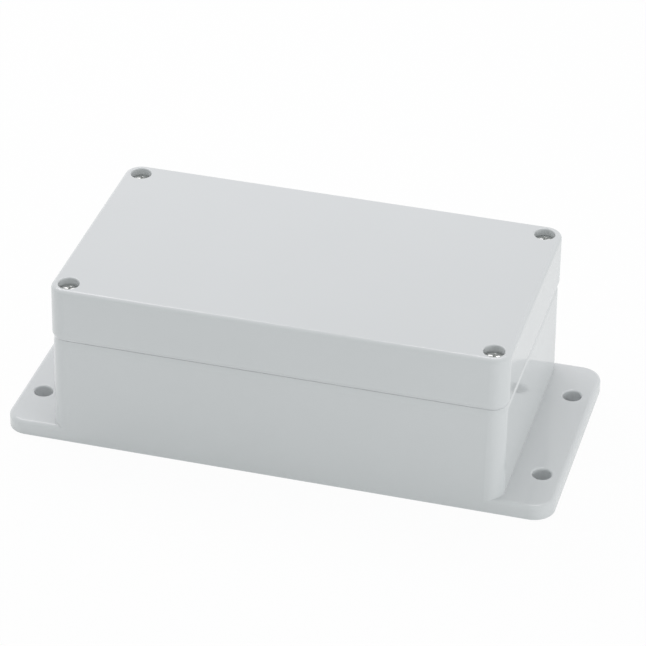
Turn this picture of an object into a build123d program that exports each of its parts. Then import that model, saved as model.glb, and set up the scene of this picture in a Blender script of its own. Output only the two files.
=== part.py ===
"""Sealed wall-mounting enclosure for electrical wiring: a moulded base with two fixing flanges, a deep
moulded lid, a sealing strip between them, and four captive screws that turn into brass inserts.

All sizes are millimetres. The origin is the middle of the flat mounting face, X runs along the box from
flange to flange, Y across it, and Z up from the wall to the lid.
"""

from build123d import *
import math
import os

# Outside of the box
box_length = 158.0
box_width = 90.0
box_height = 60.0
split_height = 40.1
corner_radius = 6.0
base_draft = 0.8
lid_draft = 0.3
lid_edge_radius = 1.5

# Joint line: both rims slope in towards it, and the lid's outer lip stays clear of the base
joint_gap = 0.45
lid_rim_slope_height = 1.0
lid_rim_slope_inset = 0.45
lid_rim_blend_radius = 2.0
base_rim_slope_height = 2.2
base_rim_slope_inset = 0.35
base_rim_blend_radius = 4.0

# Fixing flanges, which stand out at the two ends
flange_reach = 17.0
flange_thickness = 5.2
flange_corner_radius = 7.5
flange_edge_radius = 1.5
fixing_hole_diameter = 6.5
fixing_hole_edge = 0.6
fixing_hole_from_end = 7.5
fixing_hole_from_side = 20.0

# Walls
wall = 3.0
floor_thickness = 3.0
floor_radius = 0.8
lid_top_thickness = 2.5
cavity_corner_radius = 1.5

# Seal: a groove in the lid's rim holds the strip, and a tongue on the base presses on it
groove_width = 1.2
groove_depth = 2.4
tongue_height = 1.0
seal_clearance = 0.1
strip_edge_radius = 0.25

# Lid screws
thread_diameter = 4.0
thread_engagement = 6.5
screw_tip_chamfer = 0.6
head_diameter = 6.8
head_height = 2.6
head_edge_radius = 1.1
head_seat_depth = 5.1
well_clearance = 0.2
well_edge_radius = 0.5
well_rim = 0.3
web_thickness = 2.5
screw_hole_clearance = 0.2
recess_span = 4.2
recess_blade = 0.9
recess_depth = 1.7
recess_draft = 7.0

# Rubber ring that keeps each screw in the lid
ring_section = 1.1
ring_grip_clearance = 0.03
ring_room = 0.17
ring_rest_gap = 0.3

# Brass inserts
insert_wall = 0.9
insert_length = 8.0
insert_waist_length = 1.6
insert_lead = 0.5
knurl_teeth = 24
knurl_depth = 0.25
insert_clearance = 0.02
thread_clearance = 0.05
pilot_depth = 4.0

# Bosses for a circuit board
boss_from_end = 24.0
boss_from_side = 20.0
boss_diameter = 6.5
boss_height = 5.0
boss_hole_diameter = 2.6
boss_hole_floor = 2.0

# Places worked out from the sizes above
lid_height = box_height - split_height
flange_length = box_length + 2 * flange_reach
fixing_x = flange_length / 2 - fixing_hole_from_end
fixing_y = box_width / 2 - fixing_hole_from_side
boss_x = box_length / 2 - boss_from_end
boss_y = box_width / 2 - boss_from_side
well_radius = head_diameter / 2 + well_clearance
screw_inset = max(corner_radius, lid_edge_radius + well_rim + well_edge_radius + well_radius)
screw_x = box_length / 2 - screw_inset
screw_y = box_width / 2 - screw_inset
seat_z = box_height - head_seat_depth
web_z = seat_z - web_thickness
thread_radius = thread_diameter / 2
screw_tip_z = split_height - thread_engagement
ring_outer_radius = thread_radius + ring_grip_clearance + ring_section
ring_bore_radius = ring_outer_radius + ring_room
post_radius = ring_bore_radius + wall
groove_lip = (wall - groove_width) / 2
groove_roof_z = split_height + groove_depth
lid_overhang = (split_height - flange_thickness) * math.tan(math.radians(base_draft))
tongue_inset = groove_lip + seal_clearance
lip_share = 0.75
insert_radius = thread_radius + insert_wall
past = 1.0
nearly = 0.02

corner_signs = {
    "front_left": (-1, -1),
    "front_right": (1, -1),
    "back_right": (1, 1),
    "back_left": (-1, 1),
}


def four_places(half_x, half_y):
    """Locations at the four corners of a rectangle about the Z axis."""
    return [Pos(sx * half_x, sy * half_y, 0) for sx, sy in corner_signs.values()]


def disc(radius, z, height):
    """Upright cylinder on the Z axis that starts at height z."""
    return Pos(0, 0, z) * extrude(Circle(radius), height)


def sealed_area(grow):
    """Outline of the dry space, grown outwards into its walls by a distance.

    It is the inside of the walls, stepped in round the four screw posts, so that the screws stay outside
    the seal. The rim's groove, tongue and strip all follow it.
    """
    half_x = box_length / 2 - wall + grow
    half_y = box_width / 2 - wall + grow
    keep = post_radius - grow
    reach = 2 * screw_inset
    area = Rectangle(2 * half_x, 2 * half_y)
    for sx, sy in corner_signs.values():
        post = Circle(keep)
        post += Pos(sx * reach / 2, 0) * Rectangle(reach, 2 * keep)
        post += Pos(0, sy * reach / 2) * Rectangle(2 * keep, reach)
        post += Pos(sx * reach / 2, sy * reach / 2) * Rectangle(reach, reach)
        area -= Pos(sx * screw_x, sy * screw_y) * post
    meets_wall = [
        v
        for v in area.vertices()
        if math.isclose(abs(v.X), half_x, abs_tol=0.01) or math.isclose(abs(v.Y), half_y, abs_tol=0.01)
    ]
    return fillet(meets_wall, cavity_corner_radius + grow)


def seal_band(inset, z, height):
    """Band that follows the middle of the rim, narrower than the groove by inset on each side."""
    ring = sealed_area(groove_lip + groove_width - inset) - sealed_area(groove_lip + inset)
    return Pos(0, 0, z) * extrude(ring, height)


def slope_rim(shape, rim, inset, height, blend_radius):
    """Slopes a shape in towards its level rim face, and blends the slope into the wall."""
    far_edge = rim.center().Z + math.copysign(height, shape.center().Z - rim.center().Z)
    shape = chamfer(rim.edges(), inset, height, reference=rim)
    meets_wall = shape.edges().filter_by_position(Axis.Z, far_edge - nearly, far_edge + nearly)
    return fillet(meets_wall, blend_radius)


def make_lid():
    """Deep lid: tapered walls, screw wells and posts, and the groove for the sealing strip."""
    outline = RectangleRounded(box_length, box_width, corner_radius)
    lid = Pos(0, 0, split_height + joint_gap) * extrude(outline, lid_height - joint_gap, taper=lid_draft)
    lid = fillet(lid.edges().group_by(Axis.Z)[-1], lid_edge_radius)
    inset = min(lid_rim_slope_inset, lip_share * groove_lip)
    lid = slope_rim(lid, lid.faces().sort_by(Axis.Z)[0], inset, lid_rim_slope_height, lid_rim_blend_radius)
    length, width = box_length - 2 * tongue_inset, box_width - 2 * tongue_inset
    seat = RectangleRounded(length, width, corner_radius - tongue_inset)
    lid += Pos(0, 0, split_height) * extrude(seat, joint_gap)
    lid -= Pos(0, 0, split_height) * extrude(sealed_area(0), lid_height - lid_top_thickness)
    lid -= seal_band(0, split_height, groove_depth)
    well = disc(well_radius, seat_z, head_seat_depth + past)
    hole = disc(thread_radius + screw_hole_clearance, split_height, lid_height)
    ring_bore = disc(ring_bore_radius, split_height - past, web_z - split_height + past)
    for place in four_places(screw_x, screw_y):
        lid -= place * (well + hole + ring_bore)
    mouths = [
        e
        for e in lid.edges().filter_by(GeomType.CIRCLE)
        if math.isclose(e.center().Z, box_height, abs_tol=0.01)
        and math.isclose(e.radius, well_radius, abs_tol=0.01)
    ]
    return fillet(mouths, well_edge_radius)


def make_flange():
    """Flat plate under the box whose two ends stand out as the fixing flanges."""
    outline = RectangleRounded(flange_length, box_width, flange_corner_radius)
    plate = extrude(outline, flange_thickness)
    return fillet(plate.edges().group_by(Axis.Z)[-1], flange_edge_radius)


def make_base():
    """Base: drafted walls on the flange plate, screw posts, board bosses and the seal's tongue."""
    outline = RectangleRounded(box_length, box_width, corner_radius)
    foot = extrude(outline, flange_thickness)
    body = Pos(0, 0, flange_thickness) * extrude(outline, split_height - flange_thickness, taper=base_draft)
    inset = min(base_rim_slope_inset, lip_share * (tongue_inset - lid_overhang))
    rim = body.faces().sort_by(Axis.Z)[-1]
    body = slope_rim(body, rim, inset, base_rim_slope_height, base_rim_blend_radius)
    base = make_flange() + foot + body
    room = Pos(0, 0, floor_thickness) * extrude(sealed_area(0), split_height)
    base -= fillet(room.edges().group_by(Axis.Z)[0], floor_radius)
    base += seal_band(seal_clearance, split_height, tongue_height)

    pocket = disc(insert_radius + insert_clearance, split_height - insert_length, insert_length + past)
    pilot = disc(thread_radius, split_height - insert_length - pilot_depth, pilot_depth)
    for place in four_places(screw_x, screw_y):
        base -= place * (pocket + pilot)

    boss = disc(boss_diameter / 2, floor_thickness, boss_height)
    boss_hole_depth = floor_thickness + boss_height - boss_hole_floor
    boss_hole = disc(boss_hole_diameter / 2, boss_hole_floor, boss_hole_depth + past)
    for place in four_places(boss_x, boss_y):
        base += place * boss
        base -= place * boss_hole

    fixing_hole = disc(fixing_hole_diameter / 2, -past, flange_thickness + 2 * past)
    for place in four_places(fixing_x, fixing_y):
        base -= place * fixing_hole
    mouths = [
        e
        for e in base.edges().filter_by(GeomType.CIRCLE)
        if math.isclose(e.center().Z, flange_thickness, abs_tol=0.01)
        and math.isclose(e.radius, fixing_hole_diameter / 2, abs_tol=0.01)
    ]
    return fillet(mouths, fixing_hole_edge)


def make_strip():
    """Sealing strip: one closed loop against the groove's roof, with the tongue under it."""
    z = split_height + tongue_height
    strip = seal_band(seal_clearance, z, groove_roof_z - z)
    return fillet(strip.edges().group_by(Axis.Z)[0], strip_edge_radius)


def make_recess():
    """Cross recess of the screw head, cut down from its top and narrower towards its floor."""
    cross = Rectangle(recess_span, recess_blade) + Rectangle(recess_blade, recess_span)
    return extrude(cross, -recess_depth, taper=recess_draft)


def make_screw():
    """Lid screw with a rounded head, at the Z axis; the fine thread is drawn as its outer cylinder."""
    head = disc(head_diameter / 2, seat_z, head_height)
    head = fillet(head.edges().group_by(Axis.Z)[-1], head_edge_radius)
    shank = disc(thread_radius, screw_tip_z, seat_z - screw_tip_z)
    shank = chamfer(shank.edges().group_by(Axis.Z)[0], screw_tip_chamfer)
    return head + shank - Pos(0, 0, seat_z + head_height) * make_recess()


def make_ring():
    """Rubber ring on the screw, just above the base, that stops the screw leaving the lid."""
    middle = thread_radius + ring_grip_clearance + ring_section / 2
    z = split_height + ring_rest_gap + ring_section / 2
    return Pos(0, 0, z) * Torus(middle, ring_section / 2)


def knurled_band(z, height):
    """Straight knurl: a toothed disc of the insert."""
    root = insert_radius - knurl_depth
    points = []
    for tooth in range(knurl_teeth):
        for radius, turn in ((insert_radius, tooth), (root, tooth + 0.5)):
            angle = 2 * math.pi * turn / knurl_teeth
            points.append((radius * math.cos(angle), radius * math.sin(angle)))
    return Pos(0, 0, z) * extrude(make_face(Polyline(points, close=True)), height)


def make_insert():
    """Brass insert for the screw: two knurled bands with a plain waist, and a plain lead at the bottom."""
    bottom = split_height - insert_length
    band_length = (insert_length - insert_waist_length - insert_lead) / 2
    core = disc(insert_radius - knurl_depth, bottom, insert_length)
    insert = core + knurled_band(bottom + insert_lead, band_length)
    insert += knurled_band(split_height - band_length, band_length)
    return insert - disc(thread_radius + thread_clearance, bottom - past, insert_length + 2 * past)


def write(name, shape):
    """Writes one named piece to the parts folder."""
    export_step(shape, os.path.join("parts", name + ".step"))


def main():
    """Builds every piece in its place and writes it."""
    os.makedirs("parts", exist_ok=True)
    write("base_shell", make_base())
    write("lid_shell", make_lid())
    write("sealing_strip", make_strip())
    screw, ring, insert = make_screw(), make_ring(), make_insert()
    for corner, (sx, sy) in corner_signs.items():
        place = Pos(sx * screw_x, sy * screw_y, 0)
        write("screw_" + corner, place * screw)
        write("retaining_ring_" + corner, place * ring)
        write("brass_insert_" + corner, place * insert)


main()
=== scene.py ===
# %% [markdown]
# # A sealed wiring box for a wall, dressed for a studio picture
#
# The box is a light grey moulded enclosure: a base with two fixing flanges, a deep lid, a rubber seal
# between them and four captive screws in brass inserts. Its solids come ready made and stay as they
# are. This lesson gives them their finishes, makes what is too fine for a solid model, which is the
# screws' threads and the inserts' knurls, and sets up the floor, the light and the camera.

import math

import bmesh
import bpy
from mathutils import Matrix, Vector


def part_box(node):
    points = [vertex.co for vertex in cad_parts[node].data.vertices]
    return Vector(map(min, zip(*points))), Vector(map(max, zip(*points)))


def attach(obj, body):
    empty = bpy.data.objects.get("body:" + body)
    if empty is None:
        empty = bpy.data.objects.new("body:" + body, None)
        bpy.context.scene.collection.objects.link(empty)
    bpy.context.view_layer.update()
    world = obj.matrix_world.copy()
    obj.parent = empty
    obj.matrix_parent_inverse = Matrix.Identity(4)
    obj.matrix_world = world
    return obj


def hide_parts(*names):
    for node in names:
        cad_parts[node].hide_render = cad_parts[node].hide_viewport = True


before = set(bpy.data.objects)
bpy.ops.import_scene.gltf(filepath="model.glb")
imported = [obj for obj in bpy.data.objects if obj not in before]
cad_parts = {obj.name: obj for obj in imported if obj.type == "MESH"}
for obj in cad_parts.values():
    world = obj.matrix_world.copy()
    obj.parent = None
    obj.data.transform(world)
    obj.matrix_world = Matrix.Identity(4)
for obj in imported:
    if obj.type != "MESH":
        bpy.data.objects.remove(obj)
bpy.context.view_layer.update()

# %% [markdown]
# Blender works in metres, and a small moulding is easier to think of in millimetres, so one value
# turns one into the other. A screw and its insert stand at each corner of the lid. Their places and
# lengths are read from the solids' boxes, so the fine pieces follow if a solid is ever changed.

# %% Places of the four screws
MM = 0.001
CORNERS = ("front_left", "front_right", "back_right", "back_left")


def axis_of(node):
    """X and Y of the upright axis through the middle of a solid."""
    low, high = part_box(node)
    return (low.x + high.x) / 2, (low.y + high.y) / 2


screw_axes = {corner: axis_of("screw_" + corner) for corner in CORNERS}
for corner, (x, y) in screw_axes.items():
    print(corner, "screw at", round(x / MM, 2), round(y / MM, 2), "mm")

# %% [markdown]
# Every finish below is a small tree of nodes. Colours are written as sRGB hex values, the way a
# paint card gives them, and one function turns them into the linear values that light is reckoned in.
# A second function adds a node, sets it and joins it up. It serves the materials here and the Geometry
# Nodes later on, because both kinds of tree are built alike.


# %% Helpers for trees of nodes
def linear(hex_colour):
    """Linear RGBA of an sRGB colour written as #rrggbb."""
    channels = [int(hex_colour[i : i + 2], 16) / 255 for i in (1, 3, 5)]
    return (*[c / 12.92 if c <= 0.04045 else ((c + 0.055) / 1.055) ** 2.4 for c in channels], 1.0)


def add_node(tree, kind, inputs=(), **settings):
    """Adds a node, sets it, and fills its inputs, by place or by name, from values, sockets or nodes."""
    node = tree.nodes.new(kind)
    for name, value in settings.items():
        setattr(node, name, value)
    for key, value in inputs.items() if isinstance(inputs, dict) else enumerate(inputs):
        in_use = [socket for socket in node.inputs if socket.enabled]
        target = in_use[key] if isinstance(key, int) else next(s for s in in_use if s.name == key)
        if isinstance(value, bpy.types.Node):
            value = next(socket for socket in value.outputs if socket.enabled)
        if isinstance(value, bpy.types.NodeSocket):
            tree.links.new(value, target)
        else:
            target.default_value = value
    return node


def empty_material(name):
    """Material whose tree is still empty."""
    material = bpy.data.materials.new(name)
    material.use_nodes = True
    material.node_tree.nodes.clear()
    return material


def dress(nodes, material):
    """Puts a material in the slots of ready-made solids."""
    for node in nodes:
        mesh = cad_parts[node].data
        for index in range(len(mesh.materials)):
            mesh.materials[index] = material


# %% [markdown]
# **Moulded ABS.** The shells are acrylonitrile butadiene styrene, injected into a polished steel tool.
# Pigment goes all through it, so the colour is even, and what tells the eye it is plastic is a clear
# gloss over a soft, matt body: an IOR of 1.53 and a low roughness. Thick places shrink as they cool, so
# wide reflections waver. That is a bump with waves about 14 mm long and a few thousandths of a
# millimetre high. A finer bump is the tool's last polishing. Its real grains are a few hundredths of a
# millimetre, too fine to show, so they are drawn 0.5 mm long, which softens a reflection as much.


# %% Moulded ABS
def moulded_abs():
    """Light grey ABS from a polished mould: even colour, clear gloss and faint sink waves."""
    material = empty_material("moulded_abs_light_grey")
    tree = material.node_tree
    place = add_node(tree, "ShaderNodeTexCoord").outputs["Object"]
    cloud = add_node(tree, "ShaderNodeTexNoise", {"Vector": place, "Scale": 1 / (35 * MM), "Detail": 3.0})
    tint = add_node(
        tree,
        "ShaderNodeMix",
        {"Factor": cloud, "A": linear("#d2d4d5"), "B": linear("#d5d7d8")},
        data_type="RGBA",
    )
    gloss = add_node(
        tree,
        "ShaderNodeMapRange",
        {"Value": cloud, "From Min": 0.3, "From Max": 0.7, "To Min": 0.07, "To Max": 0.1},
    )
    sink = add_node(tree, "ShaderNodeTexNoise", {"Vector": place, "Scale": 1 / (14 * MM), "Detail": 1.0})
    waves = add_node(tree, "ShaderNodeBump", {"Height": sink, "Strength": 0.35, "Distance": 0.03 * MM})
    polish = add_node(tree, "ShaderNodeTexNoise", {"Vector": place, "Scale": 1 / (0.5 * MM), "Detail": 2.0})
    grains = add_node(
        tree,
        "ShaderNodeBump",
        {"Height": polish, "Strength": 0.12, "Distance": 0.01 * MM, "Normal": waves},
    )
    body = add_node(
        tree,
        "ShaderNodeBsdfPrincipled",
        {"Base Color": tint, "Roughness": gloss, "IOR": 1.53, "Normal": grains},
    )
    add_node(tree, "ShaderNodeOutputMaterial", {"Surface": body})
    return material


abs_grey = moulded_abs()
dress(["base_shell", "lid_shell"], abs_grey)
print("finish:", abs_grey.name)

# %% [markdown]
# **Rubber.** The seal, and the rings that keep the screws in the lid, are black synthetic rubber. It
# scatters what little light it returns, so it is dark and rough, with the fine grain of an extrusion.


# %% Sealing rubber
def sealing_rubber():
    """Black extruded rubber: dark, matt and finely grained."""
    material = empty_material("extruded_rubber_black")
    tree = material.node_tree
    place = add_node(tree, "ShaderNodeTexCoord").outputs["Object"]
    grain = add_node(tree, "ShaderNodeTexNoise", {"Vector": place, "Scale": 1 / (0.25 * MM), "Detail": 2.0})
    tint = add_node(
        tree,
        "ShaderNodeMix",
        {"Factor": grain, "A": linear("#1b1c1d"), "B": linear("#292a2b")},
        data_type="RGBA",
    )
    bump = add_node(tree, "ShaderNodeBump", {"Height": grain, "Strength": 0.3, "Distance": 0.02 * MM})
    body = add_node(
        tree,
        "ShaderNodeBsdfPrincipled",
        {"Base Color": tint, "Roughness": 0.62, "IOR": 1.52, "Normal": bump},
    )
    add_node(tree, "ShaderNodeOutputMaterial", {"Surface": body})
    return material


rubber = sealing_rubber()
dress(["sealing_strip"] + ["retaining_ring_" + corner for corner in CORNERS], rubber)
print("finish:", rubber.name)

# %% [markdown]
# **Turned metals.** The screws are steel with a bright zinc plating, and the inserts are brass. A header
# or a lathe leaves fine rings round the axis of each. The four axes mirror each other, so the absolute
# value of X and Y folds them onto one, and one distance draws the rings on all the screws. Real rings
# are about 0.05 mm apart. They are drawn 0.12 mm apart, so that they still show at this distance.


# %% Plated steel and brass
def turned_metal(name, light, dark, roughness, ring_spacing=0.12 * MM):
    """Metal with turning rings about the screw axes and a slightly uneven tone."""
    material = empty_material(name)
    tree = material.node_tree
    place = add_node(tree, "ShaderNodeTexCoord").outputs["Object"]
    folded = add_node(tree, "ShaderNodeVectorMath", [place], operation="ABSOLUTE")
    flat = add_node(tree, "ShaderNodeVectorMath", [folded, (1, 1, 0)], operation="MULTIPLY")
    axis = (abs(screw_axes["front_left"][0]), abs(screw_axes["front_left"][1]), 0)
    away = add_node(tree, "ShaderNodeVectorMath", [flat, axis], operation="DISTANCE")
    turns = add_node(tree, "ShaderNodeMath", [away, math.tau / ring_spacing], operation="MULTIPLY")
    rings = add_node(tree, "ShaderNodeMath", [turns], operation="SINE")
    bump = add_node(tree, "ShaderNodeBump", {"Height": rings, "Strength": 0.15, "Distance": 0.004 * MM})
    cloud = add_node(tree, "ShaderNodeTexNoise", {"Vector": place, "Scale": 1 / (1.5 * MM), "Detail": 3.0})
    tint = add_node(
        tree, "ShaderNodeMix", {"Factor": cloud, "A": linear(dark), "B": linear(light)}, data_type="RGBA"
    )
    body = add_node(
        tree,
        "ShaderNodeBsdfPrincipled",
        {"Base Color": tint, "Metallic": 1.0, "Roughness": roughness, "Normal": bump},
    )
    add_node(tree, "ShaderNodeOutputMaterial", {"Surface": body})
    return material


plated_steel = turned_metal("zinc_plated_steel", "#d8dad8", "#c6c8c6", roughness=0.24)
brass = turned_metal("turned_brass", "#d8b56c", "#bd9850", roughness=0.24)
print("finishes:", plated_steel.name, brass.name)

# %% [markdown]
# **Threads and sleeves.** A thread winds round a rod by a rule, so Geometry Nodes make it. Each tree
# starts from a flat grid, whose columns become turns about an axis and whose rows become the section.
# The sizes are named inputs of the tree, so one tree makes all four pieces of its kind. A tree's
# result is turned into a plain mesh, which carries no live modifiers.


# %% Start and end of a geometry tree
WELD_DISTANCE = 0.001 * MM


def tree_with_inputs(name, sizes):
    """New geometry tree with named inputs, as (tree, its input sockets)."""
    tree = bpy.data.node_groups.new(name, "GeometryNodeTree")
    for label, value in sizes.items():
        kind = "NodeSocketInt" if isinstance(value, int) else "NodeSocketFloat"
        tree.interface.new_socket(label, in_out="INPUT", socket_type=kind).default_value = value
    tree.interface.new_socket("Finish", in_out="INPUT", socket_type="NodeSocketMaterial")
    tree.interface.new_socket("Geometry", in_out="OUTPUT", socket_type="NodeSocketGeometry")
    return tree, tree.nodes.new("NodeGroupInput").outputs


def grid_round_axis(tree, columns, rows):
    """Flat grid, with each point's angle about the axis and its row number."""
    counts = {"Size X": 1.0, "Size Y": 1.0, "Vertices X": columns, "Vertices Y": rows}
    grid = add_node(tree, "GeometryNodeMeshGrid", counts)
    start = add_node(tree, "GeometryNodeInputPosition")
    flat = add_node(tree, "ShaderNodeSeparateXYZ", [start]).outputs
    angle = add_node(tree, "ShaderNodeMath", [flat["X"], math.tau, math.pi], operation="MULTIPLY_ADD")
    share = add_node(tree, "ShaderNodeMath", [flat["Y"], 0.5], operation="ADD")
    last = add_node(tree, "ShaderNodeMath", [rows, 1.0], operation="SUBTRACT")
    row = add_node(tree, "ShaderNodeMath", [share, last], operation="MULTIPLY")
    return grid, angle, add_node(tree, "ShaderNodeMath", [row], operation="ROUND"), last


def bend_and_finish(tree, grid, size, radius, angle, height):
    """Bends the grid about its axis, welds its edges and ends the tree as real, finished geometry."""
    cosine = add_node(tree, "ShaderNodeMath", [angle], operation="COSINE")
    sine = add_node(tree, "ShaderNodeMath", [angle], operation="SINE")
    x = add_node(tree, "ShaderNodeMath", [cosine, radius, size["Middle X"]], operation="MULTIPLY_ADD")
    y = add_node(tree, "ShaderNodeMath", [sine, radius, size["Middle Y"]], operation="MULTIPLY_ADD")
    place = add_node(tree, "ShaderNodeCombineXYZ", [x, y, height])
    bent = add_node(tree, "GeometryNodeSetPosition", {"Geometry": grid, "Position": place})
    welded = add_node(tree, "GeometryNodeMergeByDistance", {"Geometry": bent, "Distance": WELD_DISTANCE})
    real = add_node(tree, "GeometryNodeRealizeInstances", {"Geometry": welded})
    done = add_node(tree, "GeometryNodeSetMaterial", {"Geometry": real, "Material": size["Finish"]})
    add_node(tree, "NodeGroupOutput", {"Geometry": done})
    return tree


# %% [markdown]
# Rows that climb one pitch a turn lie along the thread, so its crest never looks stepped. At a grid's
# seam each row meets the one a pitch further on, and the weld joins them into one winding strip. Rows
# that would pass an end are held there, where they fall together and vanish. The profile is a smooth
# wave, as on a rolled thread, with a narrow flat at its crest and its root. It depends on height less
# turn, which makes a right-hand thread.


# %% Rows that wind like a thread
THREAD_FLAT = 0.08


def winding_height(tree, size, row, angle):
    """Height of a row that climbs one pitch a turn, held between the bottom and the top."""
    below = add_node(tree, "ShaderNodeMath", [size["Bottom"], size["Pitch"]], operation="DIVIDE")
    foot = add_node(tree, "ShaderNodeMath", [below], operation="FLOOR")
    foot = add_node(tree, "ShaderNodeMath", [foot, 1.0], operation="SUBTRACT")
    steps = add_node(tree, "ShaderNodeMath", [row, size["Rows Per Pitch"]], operation="DIVIDE")
    turn = add_node(tree, "ShaderNodeMath", [angle, math.tau], operation="DIVIDE")
    climb = add_node(tree, "ShaderNodeMath", [steps, turn], operation="ADD")
    pitches = add_node(tree, "ShaderNodeMath", [foot, climb], operation="ADD")
    height = add_node(tree, "ShaderNodeMath", [pitches, size["Pitch"]], operation="MULTIPLY")
    return add_node(tree, "ShaderNodeClamp", {"Value": height, "Min": size["Bottom"], "Max": size["Top"]})


def winding_rows(tree, size, length):
    """Number of winding rows that cover the whole length."""
    pitches = add_node(tree, "ShaderNodeMath", [length, size["Pitch"]], operation="DIVIDE")
    whole = add_node(tree, "ShaderNodeMath", [pitches], operation="CEIL")
    spare = add_node(tree, "ShaderNodeMath", [whole, 3.0], operation="ADD")
    return add_node(tree, "ShaderNodeMath", [spare, size["Rows Per Pitch"]], operation="MULTIPLY")


def groove(tree, size, height, angle):
    """Depth of the thread: none at its crest and the full depth at its root."""
    climb = add_node(tree, "ShaderNodeMath", [height, size["Pitch"]], operation="DIVIDE")
    turn = add_node(tree, "ShaderNodeMath", [angle, math.tau], operation="DIVIDE")
    wound = add_node(tree, "ShaderNodeMath", [climb, turn], operation="SUBTRACT")
    phase = add_node(tree, "ShaderNodeMath", [wound], operation="FRACT")
    wave = add_node(tree, "ShaderNodeMath", [phase, 2.0, -1.0], operation="MULTIPLY_ADD")
    slope = add_node(tree, "ShaderNodeMath", [wave], operation="ABSOLUTE")
    profile = {"Value": slope, "From Min": THREAD_FLAT, "From Max": 1 - THREAD_FLAT}
    profile |= {"To Min": 0.0, "To Max": size["Thread Depth"]}
    return add_node(tree, "ShaderNodeMapRange", profile, interpolation_type="SMOOTHSTEP")


# %% [markdown]
# The screw's shank is a rod: its first and last rows close on the axis, its tip is chamfered, and the
# groove runs out below a plain neck. The neck lets the screw spin freely in the lid's web.


# %% Tree for a threaded rod
def threaded_rod_tree():
    """Rod with an outside thread, a plain neck at its top and a chamfered tip."""
    sizes = {"Middle X": 0.0, "Middle Y": 0.0, "Bottom": 0.0, "Top": 20 * MM, "Neck": 2.5 * MM}
    sizes |= {"Radius": 2 * MM, "Thread Depth": 0.38 * MM, "Pitch": 0.7 * MM, "Tip": 0.6 * MM}
    sizes |= {"Columns": 37, "Rows Per Pitch": 12}
    tree, size = tree_with_inputs("threaded_rod", sizes)
    length = add_node(tree, "ShaderNodeMath", [size["Top"], size["Bottom"]], operation="SUBTRACT")
    winding = winding_rows(tree, size, length)
    count = add_node(tree, "ShaderNodeMath", [winding, 2.0], operation="ADD")
    rows = add_node(tree, "FunctionNodeFloatToInt", [count], rounding_mode="ROUND")
    grid, angle, row, last = grid_round_axis(tree, size["Columns"], rows)
    height = winding_height(tree, size, row, angle)

    plain_from = add_node(tree, "ShaderNodeMath", [size["Top"], size["Neck"]], operation="SUBTRACT")
    fade_from = add_node(tree, "ShaderNodeMath", [plain_from, size["Pitch"]], operation="SUBTRACT")
    fade = {"Value": height, "From Min": fade_from, "From Max": plain_from, "To Min": 1.0, "To Max": 0.0}
    cut = add_node(tree, "ShaderNodeMapRange", fade)
    depth = add_node(tree, "ShaderNodeMath", [groove(tree, size, height, angle), cut], operation="MULTIPLY")
    threaded = add_node(tree, "ShaderNodeMath", [size["Radius"], depth], operation="SUBTRACT")

    above = add_node(tree, "ShaderNodeMath", [height, size["Bottom"]], operation="SUBTRACT")
    narrow = add_node(tree, "ShaderNodeMath", [size["Radius"], size["Tip"]], operation="SUBTRACT")
    chamfer = add_node(tree, "ShaderNodeMath", [narrow, above], operation="ADD")
    side = add_node(tree, "ShaderNodeMath", [threaded, chamfer], operation="MINIMUM")

    after_first = add_node(tree, "ShaderNodeMath", [row, 0.5], operation="GREATER_THAN")
    final = add_node(tree, "ShaderNodeMath", [last, 0.5], operation="SUBTRACT")
    before_last = add_node(tree, "ShaderNodeMath", [row, final], operation="LESS_THAN")
    open_row = add_node(tree, "ShaderNodeMath", [after_first, before_last], operation="MULTIPLY")
    radius = add_node(tree, "ShaderNodeMath", [side, open_row], operation="MULTIPLY")
    return bend_and_finish(tree, grid, size, radius, angle, height)


rod_tree = threaded_rod_tree()
print("tree:", rod_tree.name, "with", len(rod_tree.nodes), "nodes")

# %% [markdown]
# A holder object carries the tree as a modifier just long enough to read its result. Each input is set
# by its socket's identifier, and the holder is thrown away afterwards.


# %% From a tree to a plain mesh
def grown(name, tree, values):
    """Plain mesh object that a geometry tree makes from named values."""
    holder = bpy.data.objects.new(name, bpy.data.meshes.new(name))
    modifier = holder.modifiers.new("tree", "NODES")
    modifier.node_group = tree
    for item in tree.interface.items_tree:
        if item.in_out == "INPUT" and item.name in values:
            modifier[item.identifier] = values[item.name]
    bpy.context.collection.objects.link(holder)
    made = bpy.data.meshes.new_from_object(holder.evaluated_get(bpy.context.evaluated_depsgraph_get()))
    bpy.data.objects.remove(holder)
    made.name = name
    piece = bpy.data.objects.new(name, made)
    bpy.context.collection.objects.link(piece)
    return piece


def shade_smooth(piece, crease_degrees):
    """Smooth faces, with edges sharper than an angle kept crisp."""
    piece.data.polygons.foreach_set("use_smooth", [True] * len(piece.data.polygons))
    piece.data.set_sharp_from_angle(angle=math.radians(crease_degrees))


# %% [markdown]
# **Screw heads.** The head is flat on top with a narrow rounded edge, as a cold-headed cheese head is.
# Spinning a profile about the screw's axis gives its outside. The profile starts and ends on the axis,
# so the solid is closed.

# %% Outside of a screw head
head_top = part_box("screw_front_left")[1].z
head_height = 2.6 * MM
head_seat = head_top - head_height
head_radius = (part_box("screw_front_left")[1].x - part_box("screw_front_left")[0].x) / 2
print("head:", round(2 * head_radius / MM, 2), "mm across, on a seat at", round(head_seat / MM, 2), "mm")


def mesh_object(name, shape):
    """Object that takes over a bmesh."""
    mesh = bpy.data.meshes.new(name)
    shape.to_mesh(mesh)
    shape.free()
    piece = bpy.data.objects.new(name, mesh)
    bpy.context.collection.objects.link(piece)
    return piece


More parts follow.
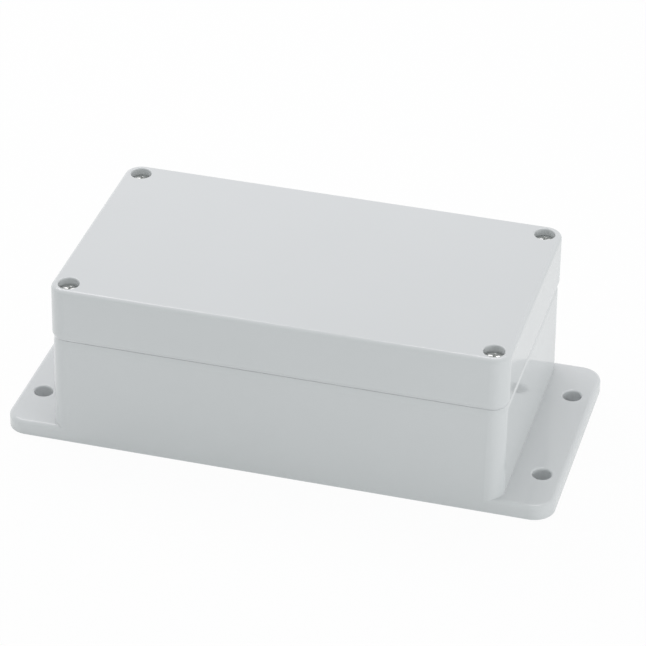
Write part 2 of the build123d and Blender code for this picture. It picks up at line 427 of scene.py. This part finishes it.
def head_outside(name, middle, edge_radius=0.45 * MM, chamfer=0.12 * MM, steps=72):
    """Solid of the head before its recess is punched."""
    foot = [(0, head_seat), (head_radius - chamfer, head_seat), (head_radius, head_seat + chamfer)]
    quarter = [math.radians(angle) for angle in range(0, 91, 9)]
    arc_x, arc_z = head_radius - edge_radius, head_top - edge_radius
    rounding = [(arc_x + edge_radius * math.cos(a), arc_z + edge_radius * math.sin(a)) for a in quarter]
    shape = bmesh.new()
    profile = foot + rounding + [(0, head_top)]
    points = [shape.verts.new((middle[0] + r, middle[1], z)) for r, z in profile]
    edges = [shape.edges.new(pair) for pair in zip(points, points[1:])]
    centre, upright = (middle[0], middle[1], 0), (0, 0, 1)
    bmesh.ops.spin(shape, geom=points + edges, cent=centre, axis=upright, angle=math.tau, steps=steps)
    bmesh.ops.remove_doubles(shape, verts=shape.verts, dist=WELD_DISTANCE)
    bmesh.ops.recalc_face_normals(shape, faces=shape.faces)
    return mesh_object(name, shape)


# %% [markdown]
# The cross recess is punched by a tool with four blades that narrow towards its nose. A Boolean takes
# that tool's shape away from the head, much as the real punch does, and a narrow Bevel then rounds the
# edges, which would otherwise catch no light.


# %% Cross recess
def cross_punch(middle, span=4.2 * MM, blade=0.9 * MM, depth=1.7 * MM, narrowing=0.21 * MM, above=0.2 * MM):
    """Four-bladed punch, full size at the head's top, a little above it and narrower at its nose."""
    quarter = [(span / 2, -blade / 2), (span / 2, blade / 2), (blade / 2, blade / 2)]
    outline = list(quarter)
    for _ in range(3):
        quarter = [(-y, x) for x, y in quarter]
        outline += quarter
    shape = bmesh.new()
    rings = []
    for rise, pull in ((above, -above * narrowing / depth), (-depth, narrowing)):
        pulled = [(x - math.copysign(pull, x), y - math.copysign(pull, y)) for x, y in outline]
        ring = [(middle[0] + x, middle[1] + y, head_top + rise) for x, y in pulled]
        rings.append([shape.verts.new(point) for point in ring])
    upper, lower = rings
    shape.faces.new(upper)
    shape.faces.new(lower[::-1])
    for i, point in enumerate(upper):
        after = (i + 1) % len(upper)
        shape.faces.new((upper[after], point, lower[i], lower[after]))
    bmesh.ops.recalc_face_normals(shape, faces=shape.faces)
    return mesh_object("cross_punch", shape)


def screw_head(name, middle, softening=0.06 * MM, sharp_degrees=40):
    """Head with its recess and softened edges, as a plain mesh."""
    head, punch = head_outside(name, middle), cross_punch(middle)
    cut = head.modifiers.new("recess", "BOOLEAN")
    cut.object, cut.operation, cut.solver = punch, "DIFFERENCE", "EXACT"
    edge = head.modifiers.new("edges", "BEVEL")
    edge.width, edge.segments = softening, 2
    edge.limit_method, edge.angle_limit = "ANGLE", math.radians(sharp_degrees)
    head_mesh = bpy.data.meshes.new_from_object(head.evaluated_get(bpy.context.evaluated_depsgraph_get()))
    head.modifiers.clear()
    head.data = head_mesh
    bpy.data.objects.remove(punch)
    return head


# %% [markdown]
# Each screw is its head and its threaded shank in one mesh, with the shank's top a hair inside the head.
# It is shown in place of the plain solid and rides on the same body, so it turns and rises with it.

# %% Four screws
CREASE_DEGREES = 35
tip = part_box("screw_front_left")[0].z
neck_top = head_seat + 0.05 * MM
for corner, middle in screw_axes.items():
    head = screw_head("lid_screw_" + corner, middle)
    values = {"Middle X": middle[0], "Middle Y": middle[1], "Bottom": tip, "Top": neck_top}
    shank = grown("shank_" + corner, rod_tree, values | {"Finish": plated_steel})
    shape = bmesh.new()
    shape.from_mesh(head.data)
    shape.from_mesh(shank.data)
    shape.to_mesh(head.data)
    shape.free()
    bpy.data.objects.remove(shank)
    head.data.materials.clear()
    head.data.materials.append(plated_steel)
    shade_smooth(head, CREASE_DEGREES)
    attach(head, "screw_" + corner)
    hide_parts("screw_" + corner)
    print(head.name, "has", len(head.data.polygons), "faces")

# %% [markdown]
# **Brass inserts.** An insert is a sleeve that is pressed into the moulding. Straight knurls grip the
# plastic outside, with a plain waist between two bands, and an inside thread takes the screw. Its section
# is one closed loop: up the outside, in over the top, down the bore and out again underneath. The rows
# outside are level and those in the bore wind with the thread. The groove depends on height less turn
# as the screw's does, so the two threads mesh, with 0.05 mm of play.


# %% Knurls
KNURL_RAMP = 0.15 * MM


def knurled_radius(tree, size, height, angle):
    """Outside radius: knurls in two bands, and plain at the lead and at the waist."""
    teeth = add_node(tree, "ShaderNodeMath", [angle, size["Knurls"]], operation="MULTIPLY")
    phase = add_node(tree, "ShaderNodeMath", [teeth, math.tau], operation="DIVIDE")
    phase = add_node(tree, "ShaderNodeMath", [phase], operation="FRACT")
    wave = add_node(tree, "ShaderNodeMath", [phase, 2.0, -1.0], operation="MULTIPLY_ADD")
    ridge = add_node(tree, "ShaderNodeMath", [wave], operation="ABSOLUTE")

    lead_end = add_node(tree, "ShaderNodeMath", [size["Bottom"], size["Lead"]], operation="ADD")
    knurled = add_node(tree, "ShaderNodeMath", [size["Top"], lead_end], operation="SUBTRACT")
    waist = add_node(tree, "ShaderNodeMath", [knurled, 0.5, lead_end], operation="MULTIPLY_ADD")
    above_lead = add_node(tree, "ShaderNodeMath", [height, lead_end], operation="SUBTRACT")
    on_band = add_node(tree, "ShaderNodeMapRange", {"Value": above_lead, "From Max": KNURL_RAMP})
    from_waist = add_node(tree, "ShaderNodeMath", [height, waist], operation="SUBTRACT")
    from_waist = add_node(tree, "ShaderNodeMath", [from_waist], operation="ABSOLUTE")
    past = add_node(tree, "ShaderNodeMath", [size["Waist"], -0.5, from_waist], operation="MULTIPLY_ADD")
    off_waist = add_node(tree, "ShaderNodeMapRange", {"Value": past, "From Max": KNURL_RAMP})
    band = add_node(tree, "ShaderNodeMath", [on_band, off_waist], operation="MULTIPLY")
    proud = add_node(tree, "ShaderNodeMath", [ridge, band], operation="MULTIPLY")
    root = add_node(tree, "ShaderNodeMath", [size["Radius"], size["Knurl Depth"]], operation="SUBTRACT")
    return add_node(tree, "ShaderNodeMath", [proud, size["Knurl Depth"], root], operation="MULTIPLY_ADD")


# %% [markdown]
# The sleeve's last row falls on its first, which a remainder of the row number does by itself. A switch
# then takes the outside or the bore for each row.


# %% Tree for a knurled sleeve with an inside thread
def knurled_sleeve_tree(outside_rows=40):
    """Sleeve with two knurled bands outside and a thread inside."""
    sizes = {"Middle X": 0.0, "Middle Y": 0.0, "Bottom": 0.0, "Top": 8 * MM, "Radius": 2.9 * MM}
    sizes |= {"Knurl Depth": 0.25 * MM, "Knurls": 24, "Lead": 0.5 * MM, "Waist": 1.6 * MM}
    sizes |= {"Bore Radius": 2.05 * MM, "Thread Depth": 0.38 * MM, "Pitch": 0.7 * MM}
    sizes |= {"Columns": 97, "Rows Per Pitch": 12}
    tree, size = tree_with_inputs("knurled_sleeve", sizes)
    length = add_node(tree, "ShaderNodeMath", [size["Top"], size["Bottom"]], operation="SUBTRACT")
    winding = winding_rows(tree, size, length)
    count = add_node(tree, "ShaderNodeMath", [winding, outside_rows + 3.0], operation="ADD")
    rows = add_node(tree, "FunctionNodeFloatToInt", [count], rounding_mode="ROUND")
    grid, angle, row, last = grid_round_axis(tree, size["Columns"], rows)
    row = add_node(tree, "ShaderNodeMath", [row, last], operation="FLOORED_MODULO")

    share = add_node(tree, "ShaderNodeMath", [row, outside_rows], operation="DIVIDE")
    level = add_node(tree, "ShaderNodeMath", [share, length, size["Bottom"]], operation="MULTIPLY_ADD")
    from_end = add_node(tree, "ShaderNodeMath", [last, row], operation="SUBTRACT")
    from_end = add_node(tree, "ShaderNodeMath", [from_end, 1.0], operation="SUBTRACT")
    wound = winding_height(tree, size, from_end, angle)
    inside = add_node(tree, "ShaderNodeMath", [row, outside_rows + 0.5], operation="GREATER_THAN")
    choice = {"Switch": inside, "False": level, "True": wound}
    height = add_node(tree, "GeometryNodeSwitch", choice, input_type="FLOAT")

    outer = knurled_radius(tree, size, height, angle)
    below_top = add_node(tree, "ShaderNodeMath", [size["Top"], height], operation="SUBTRACT")
    above_foot = add_node(tree, "ShaderNodeMath", [height, size["Bottom"]], operation="SUBTRACT")
    from_face = add_node(tree, "ShaderNodeMath", [below_top, above_foot], operation="MINIMUM")
    cut = groove(tree, size, height, angle)
    lead_in = add_node(tree, "ShaderNodeMath", [from_face, cut], operation="MINIMUM")
    bore = add_node(tree, "ShaderNodeMath", [size["Bore Radius"], lead_in], operation="SUBTRACT")
    choice = {"Switch": inside, "False": outer, "True": bore}
    radius = add_node(tree, "GeometryNodeSwitch", choice, input_type="FLOAT")
    return bend_and_finish(tree, grid, size, radius, angle, height)


sleeve_tree = knurled_sleeve_tree()
print("tree:", sleeve_tree.name, "with", len(sleeve_tree.nodes), "nodes")

# %% [markdown]
# The inserts are shown in place of their plain solids. They stay in the base when the lid is lifted.

# %% Four inserts
for corner, middle in screw_axes.items():
    low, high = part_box("brass_insert_" + corner)
    values = {"Middle X": middle[0], "Middle Y": middle[1], "Bottom": low.z, "Top": high.z}
    insert = grown("threaded_insert_" + corner, sleeve_tree, values | {"Finish": brass})
    shade_smooth(insert, CREASE_DEGREES)
    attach(insert, "base")
    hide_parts("brass_insert_" + corner)
    print(insert.name, "has", len(insert.data.polygons), "faces")

# %% [markdown]
# **Floor.** This is a studio picture on white. The floor is matt paper that takes the box's shadow. To
# the camera most of what it returns is a plain white of strength 1, so the background stays white
# however the lamps are set, and no lamp has to burn it out. In the gloss of the box it has half that
# share, so that the edges of the flanges mirror the shade beside them too. The paper that the box
# covers has none of it, so that the fixing holes look down on paper in shade. The sheet lies a hair
# below the box. It is clear from underneath, and to light on its way to what touches it, so the box
# can be looked at from below as well.


# %% White floor
COVERED_PAPER = (93 * MM, 42 * MM)
WHITE_SHARE = 0.95
PART_IN_GLOSS = 0.5
TOUCHING = 0.5 * MM


def white_paper():
    """Matt white paper that is nearly plain white to the camera and in reflections."""
    material = empty_material("matt_white_paper")
    tree = material.node_tree
    path = add_node(tree, "ShaderNodeLightPath").outputs
    direct = [path["Is Camera Ray"], path["Is Transmission Ray"]]
    seen = add_node(tree, "ShaderNodeMath", direct, operation="MAXIMUM")
    gloss = [path["Is Glossy Ray"], PART_IN_GLOSS]
    mirrored = add_node(tree, "ShaderNodeMath", gloss, operation="MULTIPLY")
    seen = add_node(tree, "ShaderNodeMath", [seen, mirrored], operation="MAXIMUM")
    place = add_node(tree, "ShaderNodeTexCoord").outputs["Object"]
    aside = add_node(tree, "ShaderNodeVectorMath", [place], operation="ABSOLUTE")
    covered = (*COVERED_PAPER, 0.0)
    inward = add_node(tree, "ShaderNodeVectorMath", [covered, aside], operation="SUBTRACT")
    inward = add_node(tree, "ShaderNodeSeparateXYZ", [inward]).outputs
    nearest = add_node(tree, "ShaderNodeMath", [inward["X"], inward["Y"]], operation="MINIMUM")
    open_paper = add_node(tree, "ShaderNodeMath", [nearest, 0.0], operation="LESS_THAN")
    glow = add_node(tree, "ShaderNodeMath", [open_paper, WHITE_SHARE], operation="MULTIPLY")
    share = add_node(tree, "ShaderNodeMath", [seen, glow], operation="MULTIPLY")
    paper = add_node(tree, "ShaderNodeBsdfDiffuse", {"Color": linear("#f0f0f0")})
    white = add_node(tree, "ShaderNodeEmission", {"Color": linear("#ffffff"), "Strength": 1.0})
    upper = add_node(tree, "ShaderNodeMixShader", [share, paper, white])
    below = add_node(tree, "ShaderNodeNewGeometry").outputs["Backfacing"]
    touching = add_node(tree, "ShaderNodeMath", [path["Ray Length"], TOUCHING], operation="LESS_THAN")
    passing = add_node(tree, "ShaderNodeMath", [below, touching], operation="MAXIMUM")
    clear = add_node(tree, "ShaderNodeBsdfTransparent")
    sided = add_node(tree, "ShaderNodeMixShader", [passing, upper, clear])
    add_node(tree, "ShaderNodeOutputMaterial", {"Surface": sided})
    return material


floor_half = 3.0
floor_level = -0.05 * MM
corner_signs = ((-1, -1), (1, -1), (1, 1), (-1, 1))
sheet = bmesh.new()
points = [sheet.verts.new((sx * floor_half, sy * floor_half, floor_level)) for sx, sy in corner_signs]
sheet.faces.new(points)
floor = mesh_object("floor", sheet)
floor.data.materials.append(white_paper())
print("floor:", 2 * floor_half, "m square")

# %% [markdown]
# **Light.** The lid's top is the lightest face, brighter at its back, and the four walls are nearly
# alike. That is a light tent, which is an even world here, with soft panels round it, which are area
# lamps. Two panels hang behind the box, high up and with a gap between them. Their reflections are the
# bright line along the lid's front edge, at its left and again at its right end. One low panel on each
# side lifts the end walls and flanges. The low ones are kept out of reflections, because a low view
# would find them mirrored in the lid, which acts as a mirror at such an angle. The tent's cloth is a
# trace cool and the back panels a trace pink, which gives the walls and the top their slight tints.


# %% World and lamps
def light_tent(strength):
    """Even world light, a little cool, but plain white to the camera and in reflections."""
    world = bpy.data.worlds.new("light_tent")
    world.use_nodes = True
    tree = world.node_tree
    tree.nodes.clear()
    path = add_node(tree, "ShaderNodeLightPath").outputs
    direct = [path["Is Camera Ray"], path["Is Glossy Ray"]]
    seen = add_node(tree, "ShaderNodeMath", direct, operation="MAXIMUM")
    seen = add_node(tree, "ShaderNodeMath", [seen, path["Is Transmission Ray"]], operation="MAXIMUM")
    cloth = {"Factor": seen, "A": linear("#faffff"), "B": linear("#ffffff")}
    tint = add_node(tree, "ShaderNodeMix", cloth, data_type="RGBA")
    level = add_node(tree, "ShaderNodeMath", [seen, 1.0 - strength, strength], operation="MULTIPLY_ADD")
    glow = add_node(tree, "ShaderNodeBackground", {"Color": tint, "Strength": level})
    add_node(tree, "ShaderNodeOutputWorld", {"Surface": glow})
    bpy.context.scene.world = world


def light_panel(name, place, width, depth, power, colour, mirrored):
    """Rectangular lamp at a place, facing the box, and mirrored in gloss or not."""
    lamp = bpy.data.lights.new(name, "AREA")
    lamp.shape, lamp.size, lamp.size_y = "RECTANGLE", width, depth
    lamp.energy, lamp.color = power, linear(colour)[:3]
    holder = bpy.data.objects.new(name, lamp)
    holder.location = place
    holder.rotation_euler = (-Vector(place)).to_track_quat("-Z", "Y").to_euler()
    holder.visible_glossy = mirrored
    bpy.context.collection.objects.link(holder)


light_tent(0.62)
light_panel("back_right_panel", (0.06, 0.28, 0.62), 0.31, 0.34, 0.83, "#fff8fc", mirrored=True)
light_panel("back_left_panel", (-0.32, 0.28, 0.62), 0.4, 0.34, 1.05, "#fff8fc", mirrored=True)
light_panel("left_panel", (-1.0, -0.05, 0.25), 0.5, 0.3, 1.9, "#ffffff", mirrored=False)
light_panel("right_panel", (1.02, -0.5, 0.2), 0.5, 0.3, 3.2, "#ffffff", mirrored=False)
print("lamps:", [lamp.name for lamp in bpy.data.lights])

# %% [markdown]
# **Camera.** The picture was taken with a long lens from above the front right corner. The camera's
# place and angles come from fitting the outlines of a box of 158 x 90 x 60 mm to it. The focal length
# is reckoned for a 36 mm sensor from a focal distance in pixels of a picture 646 pixels wide.

# %% Camera
PICTURE_WIDTH = 646
FOCAL_PIXELS = 3295
camera_place = Vector((251.1, -925.9, 634.9)) * MM
yaw, pitch, roll = 0.2599, -0.5595, 0.0173
ahead = Vector((-math.sin(yaw) * math.cos(pitch), math.cos(yaw) * math.cos(pitch), math.sin(pitch)))
level_right = Vector((math.cos(yaw), math.sin(yaw), 0))
level_up = level_right.cross(ahead)
right = level_right * math.cos(roll) + level_up * math.sin(roll)
up = level_up * math.cos(roll) - level_right * math.sin(roll)

lens = bpy.data.cameras.new("camera")
lens.sensor_width = 36.0
lens.lens = FOCAL_PIXELS / PICTURE_WIDTH * lens.sensor_width
lens.clip_start, lens.clip_end = 0.05, 20.0
camera = bpy.data.objects.new("camera", lens)
turned = Matrix((right, up, -ahead)).transposed().to_4x4()
camera.matrix_world = Matrix.Translation(camera_place) @ turned
bpy.context.collection.objects.link(camera)
bpy.context.scene.camera = camera
bpy.context.scene.view_settings.view_transform = "Standard"
print("focal length:", round(lens.lens, 1), "mm")
